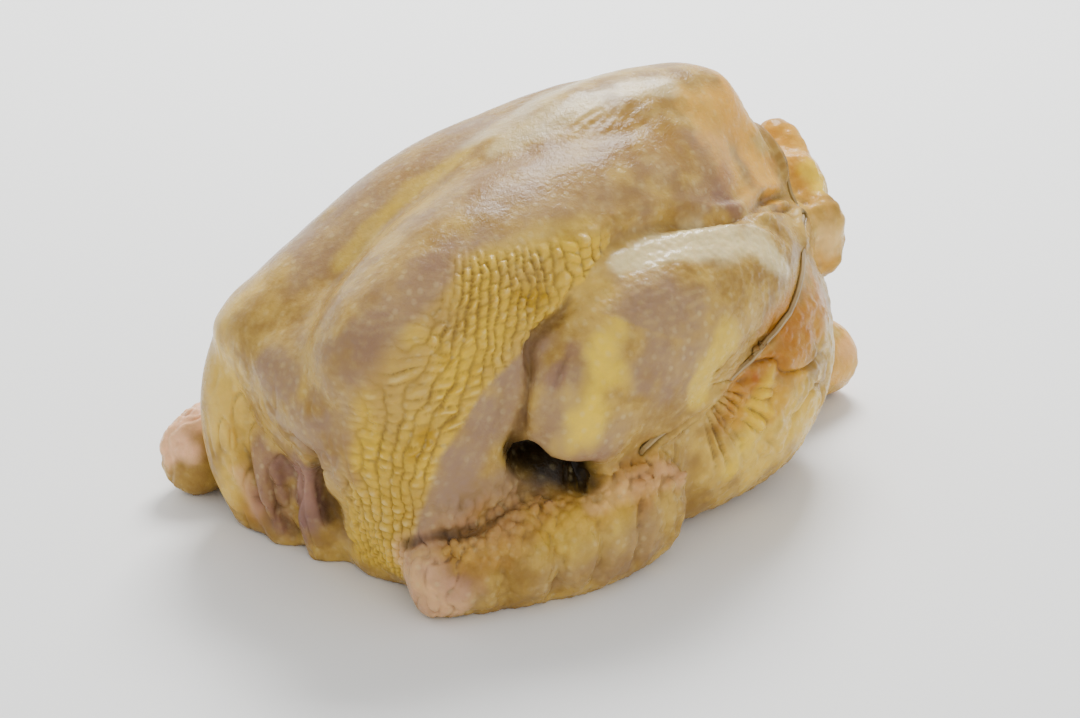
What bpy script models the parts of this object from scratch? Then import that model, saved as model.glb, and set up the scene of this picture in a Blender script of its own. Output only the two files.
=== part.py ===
"""A whole raw chicken, oven ready, lying on its back with its breast up.

The bird is one closed solid: breast, folded legs, folded wings, neck skin and tail lie under one skin.
A thin elastic holds the legs down. It runs round the bird in the fold under each drumstick, and is a solid
of its own. Units are metres. +X points to the tail, -X to the neck, +Z is up through the breast bone, and the
bird's right side is at -Y. The origin is the middle of the footprint.
"""

import math

import bmesh
import bpy
import numpy as np
from mathutils import Matrix, Vector
from mathutils.bvhtree import BVHTree

MM = 0.001

SKIN_TRIANGLES = 9000

# Driving sizes, in millimetres
GROUP_VOXEL = 3.0
SKIN_VOXEL = 2.0
SINK = 1.5
FLAT = 0.15
ELASTIC_RADIUS = 0.9
ELASTIC_GAP = 0.35
ELASTIC_STEP = 4.5
ELASTIC_LIFT = 0.3
ELASTIC_BRIDGE = 2.0

# Folds pressed into the skin, in millimetres from the middle of the footprint: stations, width and depth
CREASES = [
    ([(-8, -64, 40), (-7, -62, 26), (-8, -58, 10)], 4.5, 7.0),
    ([(-19, 63, 40), (-18, 61, 26), (-19, 56, 10)], 4.5, 7.0),
    ([(-99, -2, 50), (-99, -11, 30), (-97, -13, 14)], 4.0, 5.0),
    ([(-100, 24, 58), (-104, 19, 40), (-103, 21, 20), (-101, 22, 5)], 3.0, 3.0),
    ([(-100, 6, 34), (-102, 4, 18), (-101, 4, 4)], 3.0, 3.5),
]


def clear_scene():
    for thing in list(bpy.data.objects):
        bpy.data.objects.remove(thing, do_unlink=True)


def collection(name):
    made = bpy.data.collections.new(name)
    bpy.context.scene.collection.children.link(made)
    return made


def add_object(name, mesh, home):
    thing = bpy.data.objects.new(name, mesh)
    home.objects.link(thing)
    return thing


def lobe(centre, radii, turn=(0.0, 0.0, 0.0)):
    """One rounded muscle, in millimetres: a ball stretched to three radii and turned about X, Y and Z."""
    ball = bmesh.new()
    place = (
        Matrix.Translation(Vector(centre) * MM)
        @ Matrix.Rotation(math.radians(turn[2]), 4, "Z")
        @ Matrix.Rotation(math.radians(turn[1]), 4, "Y")
        @ Matrix.Rotation(math.radians(turn[0]), 4, "X")
        @ Matrix.Diagonal((*(r * MM for r in radii), 1.0))
    )
    bmesh.ops.create_uvsphere(ball, u_segments=40, v_segments=24, radius=1.0, matrix=place)
    return ball


def along(stations, s):
    """The smooth (Catmull-Rom) value of a table of stations at s, which counts stations from 0."""
    table = np.asarray(stations, float)
    last = len(table) - 1
    i = min(int(s), last - 1)
    t = s - i
    p0, p1, p2, p3 = (table[min(max(k, 0), last)] for k in (i - 1, i, i + 1, i + 2))
    return 0.5 * (
        2 * p1 + (p2 - p0) * t + (2 * p0 - 5 * p1 + 4 * p2 - p3) * t * t + (3 * p1 - p0 - 3 * p2 + p3) * t**3
    )


def limb(stations, up=(0.0, 0.0, 1.0), tip=0.14):
    """A tapering limb with round ends, from its first tip to its last.

    Each station is x, y, z, half width across `up`, half width along `up`. `tip` is the share of the length
    over which each end rounds off.
    """
    last = len(stations) - 1
    ball = bmesh.new()
    bmesh.ops.create_uvsphere(ball, u_segments=32, v_segments=12 * last + 12, radius=1.0)
    up = Vector(up)
    for vert in ball.verts:
        share = math.acos(max(-1.0, min(1.0, -vert.co.z))) / math.pi
        here = along(stations, last * share)
        step = along(stations, min(last * share + 0.05, last)) - along(stations, max(last * share - 0.05, 0))
        axis = Vector(step[:3]).normalized()
        side = axis.cross(up).normalized()
        lift = side.cross(axis)
        inset = 1 - min(share / tip, (1 - share) / tip, 1.0)
        close = math.sqrt(max(0.0, 1 - inset * inset))
        angle = math.atan2(vert.co.y, vert.co.x)
        across = here[3] * close * math.cos(angle)
        tall = here[4] * close * math.sin(angle)
        vert.co = (Vector(here[:3]) + side * across + lift * tall) * MM
    return ball


def joined(name, pieces, home):
    """Puts several closed shapes into one mesh object."""
    whole = bmesh.new()
    for piece in pieces:
        scrap = bpy.data.meshes.new("scrap")
        piece.to_mesh(scrap)
        piece.free()
        whole.from_mesh(scrap)
        bpy.data.meshes.remove(scrap)
    bmesh.ops.recalc_face_normals(whole, faces=whole.faces)
    mesh = bpy.data.meshes.new(name)
    whole.to_mesh(mesh)
    whole.free()
    return add_object(name, mesh, home)


def baked(thing):
    """Applies the modifiers of an object."""
    bpy.context.view_layer.update()
    graph = bpy.context.evaluated_depsgraph_get()
    mesh = bpy.data.meshes.new_from_object(thing.evaluated_get(graph))
    thing.modifiers.clear()
    old = thing.data
    thing.data = mesh
    bpy.data.meshes.remove(old)
    return thing


def fuse(thing, voxel, rounds):
    """Fuses overlapping shapes to one skin and rounds the valleys between them."""
    remesh = thing.modifiers.new("fuse", "REMESH")
    remesh.mode = "VOXEL"
    remesh.voxel_size = voxel * MM
    if rounds:
        smooth = thing.modifiers.new("round_off", "SMOOTH")
        smooth.factor = 0.5
        smooth.iterations = rounds
    return baked(thing)


def torso(home):
    """Trunk, breast bone and the two breast muscles, under one taut skin."""
    trunk = limb(
        [
            (-82, 4, 34, 34, 26),
            (-70, 3, 39, 46, 34),
            (-45, 1, 46, 53, 42),
            (-10, 0, 52, 56, 50),
            (30, 0, 57, 53, 55),
            (62, 0, 60, 44, 52),
            (84, 0, 62, 29, 40),
            (96, 0, 60, 17, 26),
        ],
        tip=0.1,
    )
    keel = limb(
        [
            (-62, 2, 60, 12, 12),
            (-40, 1, 77, 16, 15),
            (-8, 0, 95, 21, 18),
            (24, 0, 102, 24, 21),
            (58, 0, 104, 22, 21),
            (82, 0, 99, 15, 19),
        ]
    )
    near_breast = [
        (-72, -26, 46, 20, 26),
        (-60, -26, 57, 29, 34),
        (-38, -22, 68, 34, 36),
        (-6, -18, 78, 35, 35),
        (32, -15, 87, 29, 30),
        (68, -10, 92, 19, 24),
    ]
    far_breast = [
        (-80, 20, 44, 22, 22),
        (-67, 20, 52, 27, 28),
        (-44, 19, 61, 31, 32),
        (-8, 16, 77, 33, 34),
        (32, 13, 89, 28, 31),
        (68, 10, 92, 19, 24),
    ]
    rump = lobe((56, 0, 34), (46, 38, 34))
    belly_end = lobe((74, 0, 83), (20, 22, 30))
    shoulders = [
        lobe((-53, -34, 34), (26, 25, 38)),
        lobe((-36, -37, 44), (32, 22, 26)),
        lobe((-56, -27, 44), (20, 26, 38)),
        lobe((-59, -38, 46), (21, 19, 32)),
        lobe((-56, 35, 32), (24, 22, 34)),
    ]
    pieces = [trunk, keel, limb(near_breast), limb(far_breast), rump, belly_end, *shoulders]
    return fuse(joined("torso", pieces, home), GROUP_VOXEL, 8)


def leg(home, side, hock):
    """A folded leg: thigh against the back, drumstick along the breast, and the knob of the cut hock."""
    x, y, z = hock
    drumstick = limb(
        [
            (-43, side * 47, 45, 20, 18),
            (-25, side * 47, 52, 25, 26),
            (12, side * 48, 66, 24, 26),
            (46, side * 40, 71, 21, 22),
            (76, side * 26, 69, 13, 15),
            (x - 5, y, z, 9, 10),
        ],
        tip=0.12,
    )
    knob = lobe(hock, (10, 14, 17), (0, 0, -side * 20))
    thigh = limb(
        [
            (-30, side * 42, 30, 14, 14),
            (-10, side * 43, 31, 21, 29),
            (30, side * 44, 36, 24, 35),
            (62, side * 36, 40, 24, 38),
            (97, side * 20, 42, 14, 25),
        ]
    )
    return fuse(joined("leg", [drumstick, knob, thigh], home), GROUP_VOXEL, 2)


def wing(home, side, wrist, elbow):
    """A folded wing: the upper arm runs back to the elbow, and the forearm comes forward again beside it."""
    upper = limb(
        [
            (-62, side * 38, 38, 14, 16),
            (-36, side * 44, 32, 13, 15),
            (elbow[0] - 8, side * (elbow[1] - 9), 26, 10, 12),
        ]
    )
    middle = [(w + e) / 2 for w, e in zip(wrist, elbow)]
    forearm = limb(
        [
            (wrist[0] - 12, side * (wrist[1] - 5), 13, 10, 12),
            (wrist[0], side * wrist[1], 14, 11, 14),
            (middle[0], side * (middle[1] + 5), 16, 11, 16),
            (elbow[0] - 12, side * elbow[1], 20, 10, 19),
            (elbow[0] + 4, side * (elbow[1] - 1), 23, 9, 15),
        ],
        tip=0.16,
    )
    return fuse(joined("wing", [upper, forearm], home), SKIN_VOXEL, 2)


def neck_skin(home):
    """The skin of the cut neck: a flap under each breast half, and two folds that hang between them."""
    out = (1.0, 0.0, 0.0)
    far_flap = [(-70, 32, 66, 12, 9), (-78, 32, 46, 14, 10), (-79, 30, 24, 13, 10), (-72, 24, -4, 10, 9)]
    near_flap = [(-62, -22, 50, 12, 10), (-66, -21, 34, 12, 10), (-66, -20, 18, 13, 10), (-60, -20, -4, 14, 9)]
    pieces = [limb(far_flap, out), limb(near_flap, out)]
    for y, x, wide in ((13, -73, 8), (-3, -70, 7)):
        fold = [
            (x + 6, y, 62, wide, 6),
            (x, y, 40, wide + 1, 8),
            (x - 2, y, 18, wide, 9),
            (x, y - 1, -4, wide - 1, 8),
        ]
        pieces.append(limb(fold, out))
    return fuse(joined("neck_skin", pieces, home), SKIN_VOXEL, 1)


def rear(home):
    """The tail, and the skin round the vent that fills the gap between the two hocks."""
    tail = [(86, -2, 26, 20, 18), (108, -4, 18, 17, 15), (124, -4, 14, 14, 13), (133, -4, 13, 10, 11)]
    vent_skin = lobe((106, -6, 74), (10, 14, 17))
    return fuse(joined("rear", [limb(tail, tip=0.2), vent_skin], home), SKIN_VOXEL, 2)


def carcass(home):
    parts = [torso(home), rear(home), neck_skin(home)]
    parts += [leg(home, -1, (102, -17, 66)), leg(home, 1, (110, 6, 80))]
    parts += [wing(home, -1, (-64, 53), (5, 64)), wing(home, 1, (-76, 58), (-6, 64))]
    whole = bmesh.new()
    for part in parts:
        whole.from_mesh(part.data)
        bpy.data.objects.remove(part)
    mesh = bpy.data.meshes.new("chicken")
    whole.to_mesh(mesh)
    whole.free()
    bird = add_object("chicken", mesh, home)
    return fuse(bird, SKIN_VOXEL, 2)


def pressed(mesh, creases):
    """Presses creases into the skin. Each is its stations, its width and its depth, in millimetres."""
    count = len(mesh.vertices)
    places = np.empty(3 * count)
    normals = np.empty(3 * count)
    mesh.vertices.foreach_get("co", places)
    mesh.vertices.foreach_get("normal", normals)
    places = places.reshape(-1, 3) / MM
    normals = normals.reshape(-1, 3)
    shift = np.zeros(count)
    for stations, width, depth in creases:
        last = len(stations) - 1
        path = np.array([along(stations, s) for s in np.linspace(0, last, 14 * last)])
        gaps = np.linalg.norm(places[:, None, :] - path[None, :, :], axis=2)
        fade = np.sin(np.pi * (gaps.argmin(axis=1) + 0.5) / len(path)) ** 0.5
        shift += depth * fade * np.exp(-((gaps.min(axis=1) / width) ** 2))
    places -= normals * shift[:, None]
    mesh.vertices.foreach_set("co", (places * MM).ravel())
    mesh.update()


def settled(thing):
    """Moves the bird so that the origin is under the middle of its box, and lowers it by SINK."""
    corners = np.array([vert.co for vert in thing.data.vertices])
    middle = (corners.min(axis=0) + corners.max(axis=0)) / 2
    for vert in thing.data.vertices:
        vert.co -= Vector((middle[0], middle[1], SINK * MM))


def flattened(thing):
    """Flattens all that lies below the height FLAT to one resting face."""
    for vert in thing.data.vertices:
        if vert.co.z < FLAT * MM:
            vert.co.z = 0.0


def thinned(thing, triangles):
    """Lowers a skin to a number of triangles."""
    faces = sum(len(face.vertices) - 2 for face in thing.data.polygons)
    cut = thing.modifiers.new("thin", "DECIMATE")
    cut.ratio = triangles / faces
    cut.use_collapse_triangulate = True
    return baked(thing)


def elastic_course(bird):
    """The closed course of the elastic round the settled bird, in metres.

    It lies just proud of the skin, and slips between each wing and the back on its way to the underside.
    """
    near = [
        (72, -6, 96),
        (72, -18, 89),
        (71, -28, 80),
        (60, -35, 75),
        (51, -41, 71),
        (38, -50, 63),
        (25, -57, 58),
        (15, -60, 55),
        (4, -63, 51),
        (-5, -65, 48),
        (-14, -67, 45),
        (-22, -68, 42),
        (-29, -68, 38),
    ]
    near_tuck = [(-30, -62, 29), (-30, -55, 14)]
    under = [(-29, -48, 3), (-26, -30, 2), (-25, 0, 1), (-28, 30, 2), (-36, 48, 3)]
    far_tuck = [(-38, 55, 14), (-38, 61, 29)]
    far = [
        (-36, 67, 38),
        (-26, 67, 42),
        (-14, 67, 45),
        (-5, 65, 48),
        (4, 63, 51),
        (15, 61, 55),
        (25, 58, 59),
        (38, 52, 65),
        (51, 44, 70),
        (61, 37, 74),
        (70, 28, 78),
        (74, 18, 85),
        (74, 6, 95),
    ]
    loop = near + near_tuck + under + far_tuck + far
    closed = [loop[-1], *loop, loop[0], loop[1]]
    counts = np.arange(0, len(loop), 0.05)
    course = [Vector(along(closed, s + 1)) * MM for s in counts]
    tucks = [(len(near), near_tuck), (len(near + near_tuck + under), far_tuck)]
    shown = [not any(first - 0.8 < s < first + len(tuck) - 0.2 for first, tuck in tucks) for s in counts]
    skin = BVHTree.FromObject(bird, bpy.context.evaluated_depsgraph_get())
    proud = ELASTIC_LIFT * MM
    lowest = (ELASTIC_RADIUS + ELASTIC_GAP / 4) * MM
    for _ in range(12):
        before, after = course[-1:] + course[:-1], course[1:] + course[:1]
        course = [(a + b * 2 + c) / 4 for a, b, c in zip(before, course, after)]
        for i, point in enumerate(course):
            foot, normal, _, gap = skin.find_nearest(point)
            if shown[i] and ((point - foot).dot(normal) < proud or gap > ELASTIC_BRIDGE * MM):
                course[i] = foot + normal * proud
            course[i].z = max(course[i].z, lowest)
    return spaced(course)


def spaced(course):
    """Keeps points of a closed course that lie ELASTIC_STEP apart."""
    steps = [(course[(i + 1) % len(course)] - course[i]).length for i in range(len(course))]
    reach = np.concatenate([[0.0], np.cumsum(steps)])
    count = round(reach[-1] / (ELASTIC_STEP * MM))
    kept = []
    for k in range(count):
        at = reach[-1] * k / count
        i = int(np.searchsorted(reach, at, side="right")) - 1
        share = (at - reach[i]) / max(steps[i], 1e-9)
        kept.append(course[i].lerp(course[(i + 1) % len(course)], share))
    return kept


def tube(name, course, radius, home):
    """A closed round cord along a course."""
    curve = bpy.data.curves.new(name, "CURVE")
    curve.dimensions = "3D"
    curve.bevel_depth = radius * MM
    curve.bevel_resolution = 1
    spline = curve.splines.new("POLY")
    spline.points.add(len(course) - 1)
    for point, place in zip(spline.points, course):
        point.co = (*place, 1.0)
    spline.use_cyclic_u = True
    cord = add_object(name, curve, home)
    graph = bpy.context.evaluated_depsgraph_get()
    mesh = bpy.data.meshes.new_from_object(cord.evaluated_get(graph))
    bpy.data.objects.remove(cord)
    bpy.data.curves.remove(curve)
    return add_object(name, mesh, home)


def material(name, colour, roughness):
    made = bpy.data.materials.new(name)
    made.use_nodes = True
    surface = made.node_tree.nodes["Principled BSDF"]
    surface.inputs["Base Color"].default_value = (*colour, 1.0)
    surface.inputs["Roughness"].default_value = roughness
    return made


def main():
    clear_scene()
    home = collection("raw_chicken")
    cutters = collection("cutters")
    bird = carcass(home)
    settled(bird)
    pressed(bird.data, CREASES)
    flattened(bird)
    thinned(bird, SKIN_TRIANGLES)
    flattened(bird)
    course = elastic_course(bird)
    elastic = tube("truss_elastic", course, ELASTIC_RADIUS, home)
    channel = tube("elastic_channel", course, ELASTIC_RADIUS + ELASTIC_GAP, cutters)
    channel.hide_render = True
    channel.display_type = "WIRE"
    groove = bird.modifiers.new("elastic_groove", "BOOLEAN")
    groove.operation = "DIFFERENCE"
    groove.solver = "EXACT"
    groove.object = channel
    bird.data.materials.append(material("skin", (0.78, 0.62, 0.42), 0.35))
    elastic.data.materials.append(material("elastic", (0.85, 0.82, 0.74), 0.5))
    for thing in (bird, elastic):
        for face in thing.data.polygons:
            face.use_smooth = True


main()
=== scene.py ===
# %% [markdown]
# # Dressing a raw chicken
#
# The solids give the bird's form: one closed carcass, and one thin elastic round it. This lesson gives
# them the look of the real thing, which is wet skin, yellow fat and cold flesh under even light.
#
# Lengths and places are in millimetres where nothing else is said, and `MM` turns them into the metres
# that Blender works in. X runs from the neck to the tail, Y from the near side to the far one, Z up.

import math

import bmesh
import bpy
import numpy as np
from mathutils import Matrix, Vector
from mathutils.bvhtree import BVHTree


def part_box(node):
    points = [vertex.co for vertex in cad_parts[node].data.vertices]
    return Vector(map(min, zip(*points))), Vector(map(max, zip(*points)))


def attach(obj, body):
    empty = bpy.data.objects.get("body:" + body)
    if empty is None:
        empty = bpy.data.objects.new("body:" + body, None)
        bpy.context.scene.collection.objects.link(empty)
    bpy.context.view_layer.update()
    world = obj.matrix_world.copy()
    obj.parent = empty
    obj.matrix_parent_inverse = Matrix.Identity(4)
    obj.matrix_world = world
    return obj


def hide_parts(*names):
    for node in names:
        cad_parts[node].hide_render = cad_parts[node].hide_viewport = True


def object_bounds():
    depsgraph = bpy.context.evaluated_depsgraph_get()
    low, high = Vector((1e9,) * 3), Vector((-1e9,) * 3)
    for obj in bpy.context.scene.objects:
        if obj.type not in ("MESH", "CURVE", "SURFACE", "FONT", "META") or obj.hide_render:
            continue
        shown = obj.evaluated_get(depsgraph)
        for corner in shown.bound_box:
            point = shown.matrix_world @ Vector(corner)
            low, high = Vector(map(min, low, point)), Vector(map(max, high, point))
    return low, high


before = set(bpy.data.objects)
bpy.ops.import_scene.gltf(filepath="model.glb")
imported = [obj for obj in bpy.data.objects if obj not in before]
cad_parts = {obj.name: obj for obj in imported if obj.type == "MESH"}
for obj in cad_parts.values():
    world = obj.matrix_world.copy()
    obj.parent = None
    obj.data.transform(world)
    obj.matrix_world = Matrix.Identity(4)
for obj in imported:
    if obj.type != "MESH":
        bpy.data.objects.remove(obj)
solid_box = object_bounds()
MM = 0.001
bird_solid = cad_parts["chicken"]
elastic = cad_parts["truss_elastic"]
print("solids:", sorted(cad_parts))

# %% [markdown]
# ## The camera
#
# A bird on a table is taken with a short telephoto lens from a little above, so that its parts keep
# their true proportions. The focal length is given in picture widths, and the lens in millimetres
# follows from it.

# %% Set up the camera
SENSOR_MM = 36.0
FOCAL_IN_WIDTHS = 2540 / 1080
CAMERA_PLACE = (-451.3, -562.1, 336.1)
CAMERA_DOWN, CAMERA_TURN = 22.6, -38.0
camera = bpy.data.objects.new("camera", bpy.data.cameras.new("camera"))
bpy.context.scene.collection.objects.link(camera)
camera.data.sensor_width = SENSOR_MM
camera.data.lens = SENSOR_MM * FOCAL_IN_WIDTHS
camera.data.clip_start = 0.01
camera.location = Vector(CAMERA_PLACE) * MM
camera.rotation_euler = (math.radians(90 - CAMERA_DOWN), 0.0, math.radians(CAMERA_TURN))
bpy.context.scene.camera = camera
print("lens", round(camera.data.lens, 1), "mm")

# %% [markdown]
# ## Nodes and colours
#
# Every finish below is a small net of shader nodes. One helper adds a node, sets it up and links it.
# Another turns an sRGB hex colour, as a paint chart gives it, into the linear values that the renderer
# works in.

# %% Helpers for materials
def linear(hex_colour):
    parts = [int(hex_colour[i : i + 2], 16) / 255 for i in (1, 3, 5)]
    values = [c / 12.92 if c <= 0.04045 else ((c + 0.055) / 1.055) ** 2.4 for c in parts]
    return (*values, 1.0)


def node(tree, kind, settings=None, inputs=None):
    """Adds a node. A value in inputs is a number, a colour or the output socket of another node."""
    made = tree.nodes.new(kind)
    for name, value in (settings or {}).items():
        setattr(made, name, value)
    for name, value in (inputs or {}).items():
        if isinstance(value, bpy.types.NodeSocket):
            tree.links.new(value, made.inputs[name])
        else:
            made.inputs[name].default_value = value
    return made


def new_material(name):
    made = bpy.data.materials.new(name)
    made.use_nodes = True
    made.node_tree.nodes.clear()
    return made

# %% [markdown]
# ## The table top
#
# The bird lies on a table top of plain white laminate. Laminate is paper pressed with resin to a fine
# matt grain, so its shine is broad and weak, and the grain is too fine to show from here.

# %% Lay the table top
TABLE_HALF_M = 3.0
corners = [(x * TABLE_HALF_M, y * TABLE_HALF_M, 0) for x, y in ((-1, -1), (1, -1), (1, 1), (-1, 1))]
table = bpy.data.meshes.new("table_top")
table.from_pydata(corners, [], [(0, 1, 2, 3)])
table_top = bpy.data.objects.new("table_top", table)
bpy.context.scene.collection.objects.link(table_top)
laminate = new_material("white_laminate")
tree = laminate.node_tree
surface = node(tree, "ShaderNodeBsdfPrincipled", inputs={"Base Color": linear("#f2f2f0"), "Roughness": 0.6})
node(tree, "ShaderNodeOutputMaterial", inputs={"Surface": surface.outputs["BSDF"]})
table.materials.append(laminate)
print("table top", 2 * TABLE_HALF_M, "m wide")

# %% [markdown]
# ## The light
#
# Food is lit softly, so that wet skin shows broad highlights and no hard shadows. A long light behind
# the bird draws its edges, a small one high up beyond the tail puts the highlights on breast and leg,
# and a wide one in front opens the shadows. Pale surroundings fill in the rest. Places and sizes here
# are in metres, and powers in watts.

# %% Hang the lights
LIGHTS = [
    ("back_light", (0.3, 1.15, 0.45), (2.4, 0.8), 9.0),
    ("key_light", (0.56, 0.55, 0.98), (0.5, 0.5), 23.0),
    ("front_light", (-0.5, -1.4, 0.8), (1.3, 0.9), 8.0),
]
AIM = (0.0, 0.0, 0.05)
ROOM_COLOUR, ROOM_STRENGTH = "#f4f6f8", 0.95
for name, place, size, power in LIGHTS:
    lamp = bpy.data.lights.new(name, "AREA")
    lamp.shape = "RECTANGLE"
    lamp.size, lamp.size_y = size
    lamp.energy = power
    thing = bpy.data.objects.new(name, lamp)
    bpy.context.scene.collection.objects.link(thing)
    thing.location = place
    thing.rotation_euler = (Vector(AIM) - Vector(place)).to_track_quat("-Z", "Y").to_euler()
world = bpy.data.worlds.new("pale_room")
bpy.context.scene.world = world
world.use_nodes = True
world.node_tree.nodes["Background"].inputs["Color"].default_value = linear(ROOM_COLOUR)
world.node_tree.nodes["Background"].inputs["Strength"].default_value = ROOM_STRENGTH
print("lights:", [name for name, *_ in LIGHTS])

# %% [markdown]
# ## The skin's form
#
# The skin could be modelled again from nothing, but the solid already holds every main form in the
# right place. So the skin starts as a copy of the solid, is remeshed to an even grid of small squares,
# and is smoothed until the solid's facets are gone. Folds, pebbles and wrinkles are then sculpted by
# moving the points of that grid.

# %% Copy the carcass and remesh it
SKIN_GRID = 1.2
SMOOTH_ROUNDS = 12


def applied(thing):
    bpy.context.view_layer.update()
    graph = bpy.context.evaluated_depsgraph_get()
    mesh = bpy.data.meshes.new_from_object(thing.evaluated_get(graph))
    thing.modifiers.clear()
    thing.data = mesh


skin = bpy.data.objects.new("chicken_skin", bird_solid.data.copy())
bpy.context.scene.collection.objects.link(skin)
skin.data.materials.clear()
grid = skin.modifiers.new("even_grid", "REMESH")
grid.mode = "VOXEL"
grid.voxel_size = SKIN_GRID * MM
soften = skin.modifiers.new("soften", "SMOOTH")
soften.factor = 0.5
soften.iterations = SMOOTH_ROUNDS
applied(skin)
print("skin points", len(skin.data.vertices))

# %% [markdown]
# ## Where things are on the bird
#
# The patterns of a chicken's skin follow its body, so they need their own coordinates. On each side,
# `round_angle` turns about an upright axis inside the shoulder, and height is simply z. Lines on the
# skin are given by a few stations, and a smooth curve joins them.

# %% Helpers for places
SHOULDER_X, SHOULDER_Y = -60.0, 15.0


def round_angle(p):
    """Degrees round the shoulder: 0 points to the tail and 180 to the neck, on either side of the bird."""
    return np.degrees(np.arctan2(np.abs(p[:, 1]) - SHOULDER_Y, p[:, 0] - SHOULDER_X))


def ramp(x, low, high):
    """0 below low, 1 above high, and smooth between."""
    t = np.clip((x - low) / (high - low), 0, 1)
    return t * t * (3 - 2 * t)


def course(stations, step=0.8):
    """Points along a smooth (Catmull-Rom) line through the stations, about `step` apart."""
    table = np.asarray(stations, float)
    out = []
    for i in range(len(table) - 1):
        p0, p1, p2, p3 = (table[min(max(k, 0), len(table) - 1)] for k in (i - 1, i, i + 1, i + 2))
        count = max(2, int(np.linalg.norm((p2 - p1)[:3]) / step))
        for t in np.arange(count) / count:
            bend = 2 * p1 + (p2 - p0) * t
            bend = bend + (2 * p0 - 5 * p1 + 4 * p2 - p3) * t * t
            bend = bend + (3 * p1 - p0 - 3 * p2 + p3) * t**3
            out.append(0.5 * bend)
    out.append(table[-1])
    return np.array(out)

# %% [markdown]
# Skin is uneven at every scale. Three kinds of noise draw that: soft clouds, thin wandering lines and
# scattered domes. Each starts from a seed, so that it comes out the same every time.

# %% Helpers for noise
NOISE_CELLS = 32
NOISE_SHIFT = 100.0


def cloud(p, size, seed):
    """Smooth random values from 0 to 1 that change over about `size`."""
    values = np.random.default_rng(seed).random((NOISE_CELLS, NOISE_CELLS, NOISE_CELLS))
    q = p / size + NOISE_SHIFT
    whole = np.floor(q).astype(int)
    part = q - whole
    part = part * part * (3 - 2 * part)
    total = np.zeros(len(p))
    for dx, dy, dz in np.ndindex(2, 2, 2):
        weight = np.abs(1 - dx - part[:, 0]) * np.abs(1 - dy - part[:, 1]) * np.abs(1 - dz - part[:, 2])
        cell = (whole + [dx, dy, dz]) % NOISE_CELLS
        total += weight * values[cell[:, 0], cell[:, 1], cell[:, 2]]
    return total


def wrinkled(p, size, seed, width):
    """-1 along thin, wandering lines about `size` apart, and 0 between them."""
    return -np.clip(1 - np.abs(cloud(p, size, seed) - 0.5) / width, 0, 1)


def domes(p, size, seed, radius):
    """Round domes, 1 at their tops and 0 between, about `size` apart; their radius is in parts of that."""
    jitter = np.random.default_rng(seed).random((NOISE_CELLS, NOISE_CELLS, NOISE_CELLS, 3))
    q = p / size + NOISE_SHIFT
    whole = np.floor(q).astype(int)
    nearest = np.full(len(p), np.inf)
    for step in np.ndindex(3, 3, 3):
        cell = whole + np.array(step) - 1
        top = cell + jitter[cell[:, 0] % NOISE_CELLS, cell[:, 1] % NOISE_CELLS, cell[:, 2] % NOISE_CELLS]
        nearest = np.minimum(nearest, ((q - top) ** 2).sum(axis=1))
    return np.clip(1 - nearest / radius**2, 0, 1)

# %% [markdown]
# Feathers grow in tracts. The tract from the shoulder to the neck is the band of yellow pebbles. It
# lies between two angles at every height, stops at the folded wing, and on the far side keeps to the
# flank.

# %% Mark the pebbled tract
TRACT_Z = [13, 30, 48, 65, 78, 86, 93]
NECK_EDGE = [174, 163, 157, 151, 143, 132, 118]
WING_EDGE = [139, 133, 127, 110, 82, 62, 42]
FAR_NARROWING = 14
FLANK_Y = (45, 50)


def tract_mask(p, edge, neck_rise=0.0):
    """1 inside the band of pebbled skin, 0 outside; `edge` is how many degrees the neck's border fades over.

    A positive neck_rise moves the border on the neck's side down by as much.
    """
    angle = round_angle(p)
    neck_side = np.interp(p[:, 2] + neck_rise, TRACT_Z, NECK_EDGE) - FAR_NARROWING * (p[:, 1] > 0)
    wing_side = np.interp(p[:, 2], TRACT_Z, WING_EDGE)
    inside = ramp(neck_side - angle, -edge, edge) * ramp(angle - wing_side, -1.5, 1.5)
    off_wing = 1 - ramp(np.maximum(np.abs(p[:, 1]), p[:, 1] + 8), 50, 53) * ramp(34 - p[:, 2], 0, 4)
    on_flank = np.where(p[:, 1] > 0, ramp(p[:, 1], *FLANK_Y), 1.0)
    return inside * off_wing * on_flank * ramp(p[:, 2], 3, 9) * ramp(99 - p[:, 2], 0, 4)


print("tract from", TRACT_Z[0], "to", TRACT_Z[-1], "mm high")

# %% [markdown]
# Pebbles are about 3 mm wide, and wrinkles and quill stubs are narrower still. The even grid is too
# coarse for them, so its squares are cut in two both ways wherever the skin has such detail: on the
# tract, wings, thighs, rear and neck, along the crest of the breast and on top of the drumsticks.

# %% Cut the grid finer where the skin has detail
def detailed(p):
    x, side, z = p[:, 0], np.abs(p[:, 1]), p[:, 2]
    wing = (side > 51) & (z < 38) & (x < -8)
    thigh = (side > 50) & (z < 64) & (x > -8) & (x < 52)
    rear = (x > 54) & (z > 4)
    neck = (x < -88) & (side < 38) & (z < 66) & (z > 2)
    crest = (z > 102) & (side < 38) & (np.abs(x - 2) < 30)
    drum_top = (z > 70) & (side > 42) & (np.abs(x) < 48)
    return wing | thigh | rear | neck | crest | drum_top | (tract_mask(p, 9) > 0.05)


def refine(thing, wanted):
    work = bmesh.new()
    work.from_mesh(thing.data)
    work.verts.ensure_lookup_table()
    p = np.array([v.co for v in work.verts]) / MM
    chosen = wanted(p)
    edges = [e for e in work.edges if chosen[e.verts[0].index] and chosen[e.verts[1].index]]
    bmesh.ops.subdivide_edges(work, edges=edges, cuts=1, use_grid_fill=True)
    bmesh.ops.triangulate(work, faces=[f for f in work.faces if len(f.verts) > 4])
    work.to_mesh(thing.data)
    work.free()


refine(skin, detailed)
count = len(skin.data.vertices)
places = np.empty(3 * count)
skin.data.vertices.foreach_get("co", places)
places = places.reshape(-1, 3) / MM
print("skin points with the tract", count)

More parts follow.
